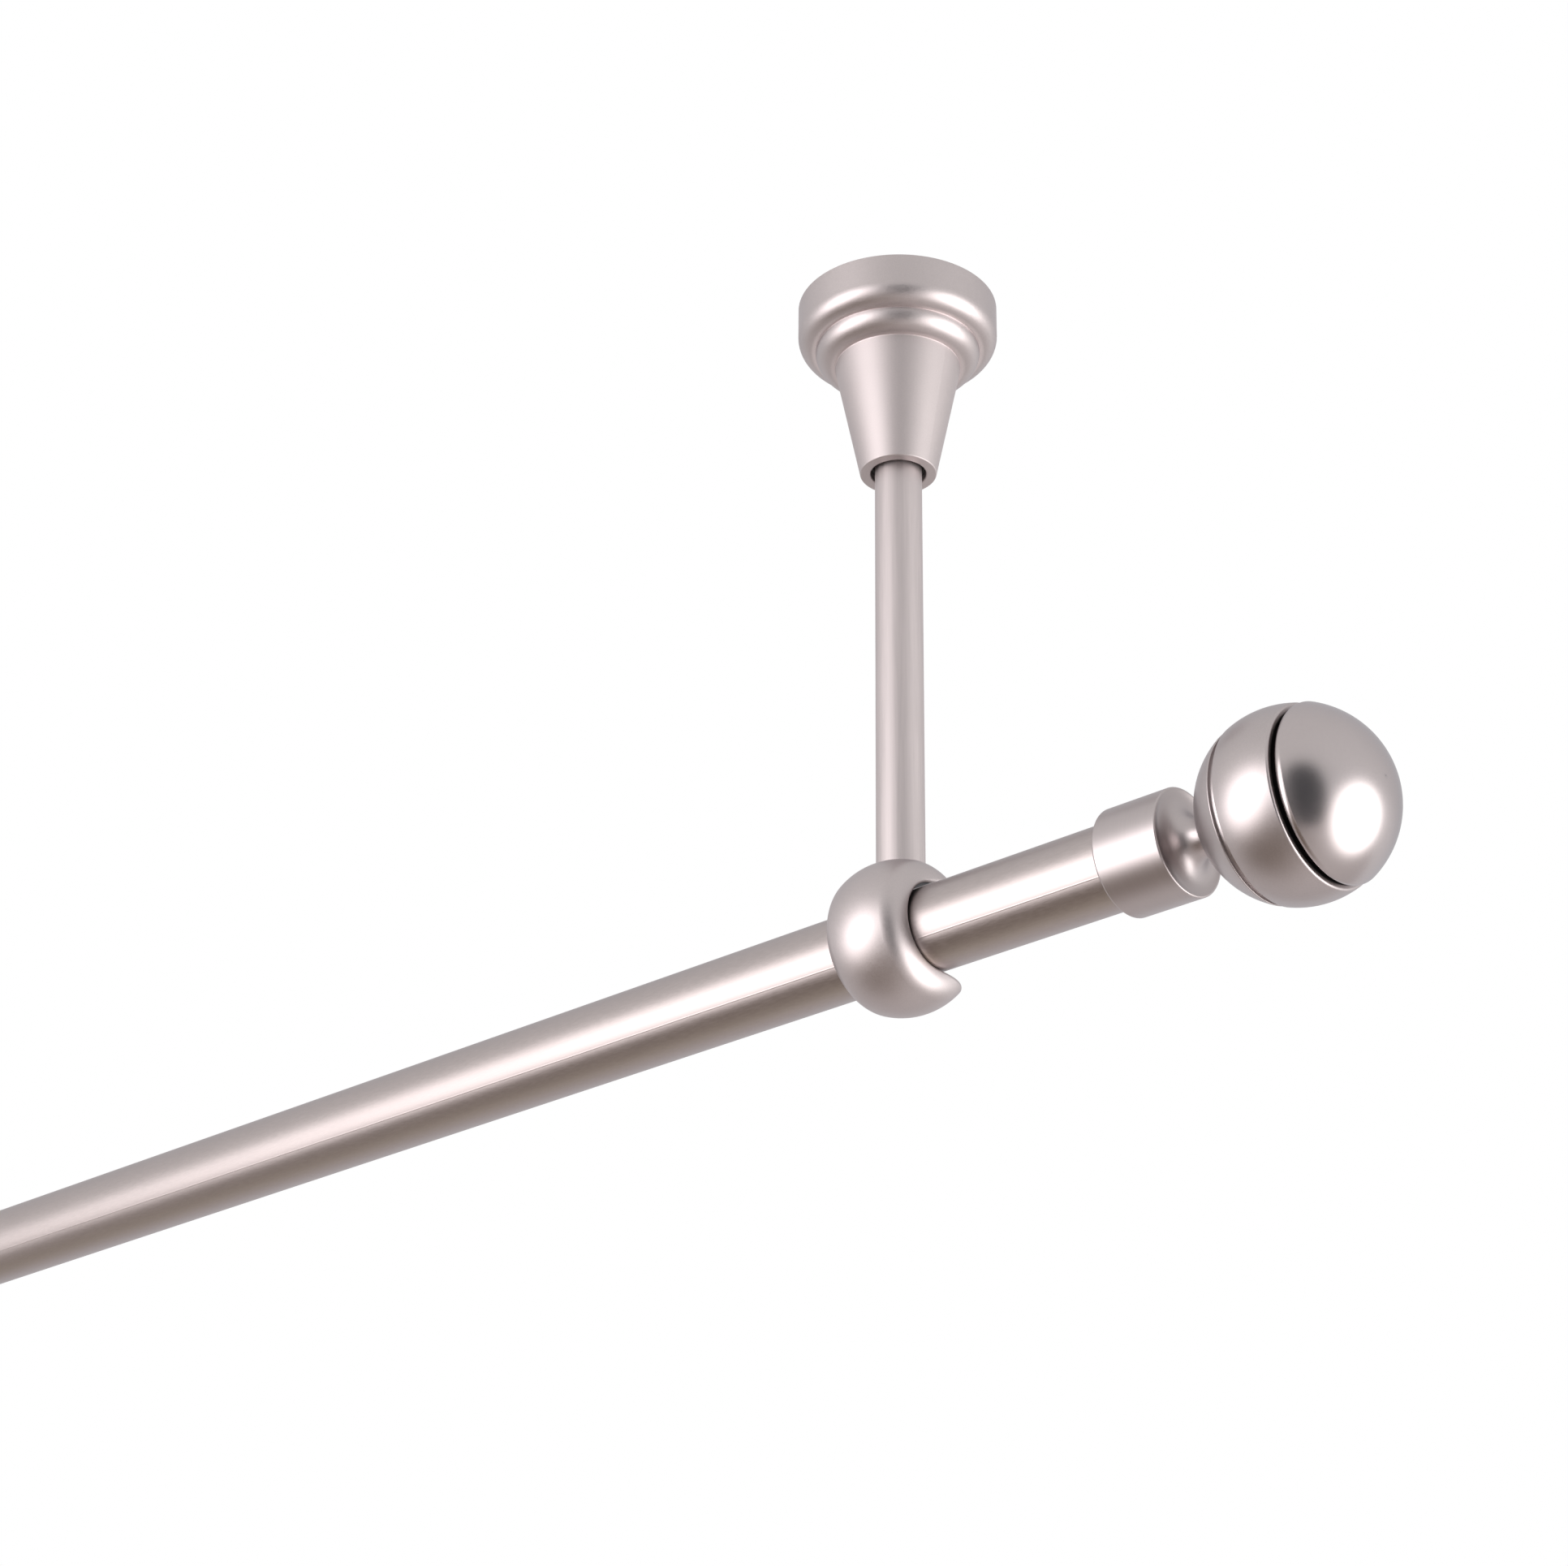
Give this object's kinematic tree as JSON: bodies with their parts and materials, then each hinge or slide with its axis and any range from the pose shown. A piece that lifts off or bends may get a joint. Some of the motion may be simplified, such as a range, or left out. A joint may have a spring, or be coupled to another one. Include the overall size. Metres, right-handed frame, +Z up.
{
  "type": "ceiling curtain rod",
  "caption": "Satin nickel ceiling curtain rod: a tube held in open ball hooks on straight stems with stepped cone covers, and grooved ball finials.",
  "frame": {"origin": "in the ceiling plane, halfway between the two ceiling plates", "axes": "+X along the rod, +Z up into the ceiling, the hooks open towards +Y"},
  "size_m": [1.304, 0.0472, 0.185],
  "materials": {
    "rod_satin": "satin nickel, fine lengthwise grain",
    "stem_satin": "satin nickel",
    "cover_satin": "pearl satin nickel",
    "hook_satin": "pearl satin nickel",
    "socket_turned": "turned satin nickel",
    "ball_satin": "satin nickel",
    "cap_polished": "smooth satin nickel with fine scratches",
    "plate_steel": "bright zinc plated",
    "stud_steel": "bright zinc plated, threaded",
    "screw_steel": "plain steel",
    "ring_rubber": "matt black rubber"
  },
  "bodies": {
    "hanger": {"rod": "rod_satin", "ceiling_plate_right": "plate_steel", "stem_upper_stud_right": "stud_steel", "stem_right": "stem_satin", "stem_lower_stud_right": "stud_steel", "rod_hook_right": "hook_satin", "rod_clamp_screw_right": "screw_steel", "ceiling_plate_left": "plate_steel", "stem_upper_stud_left": "stud_steel", "stem_left": "stem_satin", "stem_lower_stud_left": "stud_steel", "rod_hook_left": "hook_satin", "rod_clamp_screw_left": "screw_steel"},
    "cover_right": {"ceiling_cover_right": "cover_satin", "cover_grip_ring_right": "ring_rubber"},
    "finial_right": {"finial_socket_right": "socket_turned", "finial_socket_screw_right": "screw_steel", "finial_joining_stud_right": "stud_steel", "finial_ball_right": "ball_satin", "finial_dome_cap_right": "cap_polished"},
    "cover_left": {"ceiling_cover_left": "cover_satin", "cover_grip_ring_left": "ring_rubber"},
    "finial_left": {"finial_socket_left": "socket_turned", "finial_socket_screw_left": "screw_steel", "finial_joining_stud_left": "stud_steel", "finial_ball_left": "ball_satin", "finial_dome_cap_left": "cap_polished"}
  },
  "joints": [
    {"name": "cover_slide_right", "type": "slide", "parent": "hanger", "child": "cover_right", "axis": [0, 0, -1], "range_m": [0, 0.101]},
    {"name": "finial_pull_right", "type": "slide", "parent": "hanger", "child": "finial_right", "axis": [1, 0, 0], "range_m": [0, 0.02]},
    {"name": "cover_slide_left", "type": "slide", "parent": "hanger", "child": "cover_left", "axis": [0, 0, -1], "range_m": [0, 0.101]},
    {"name": "finial_pull_left", "type": "slide", "parent": "hanger", "child": "finial_left", "axis": [-1, 0, 0], "range_m": [0, 0.02]}
  ]
}
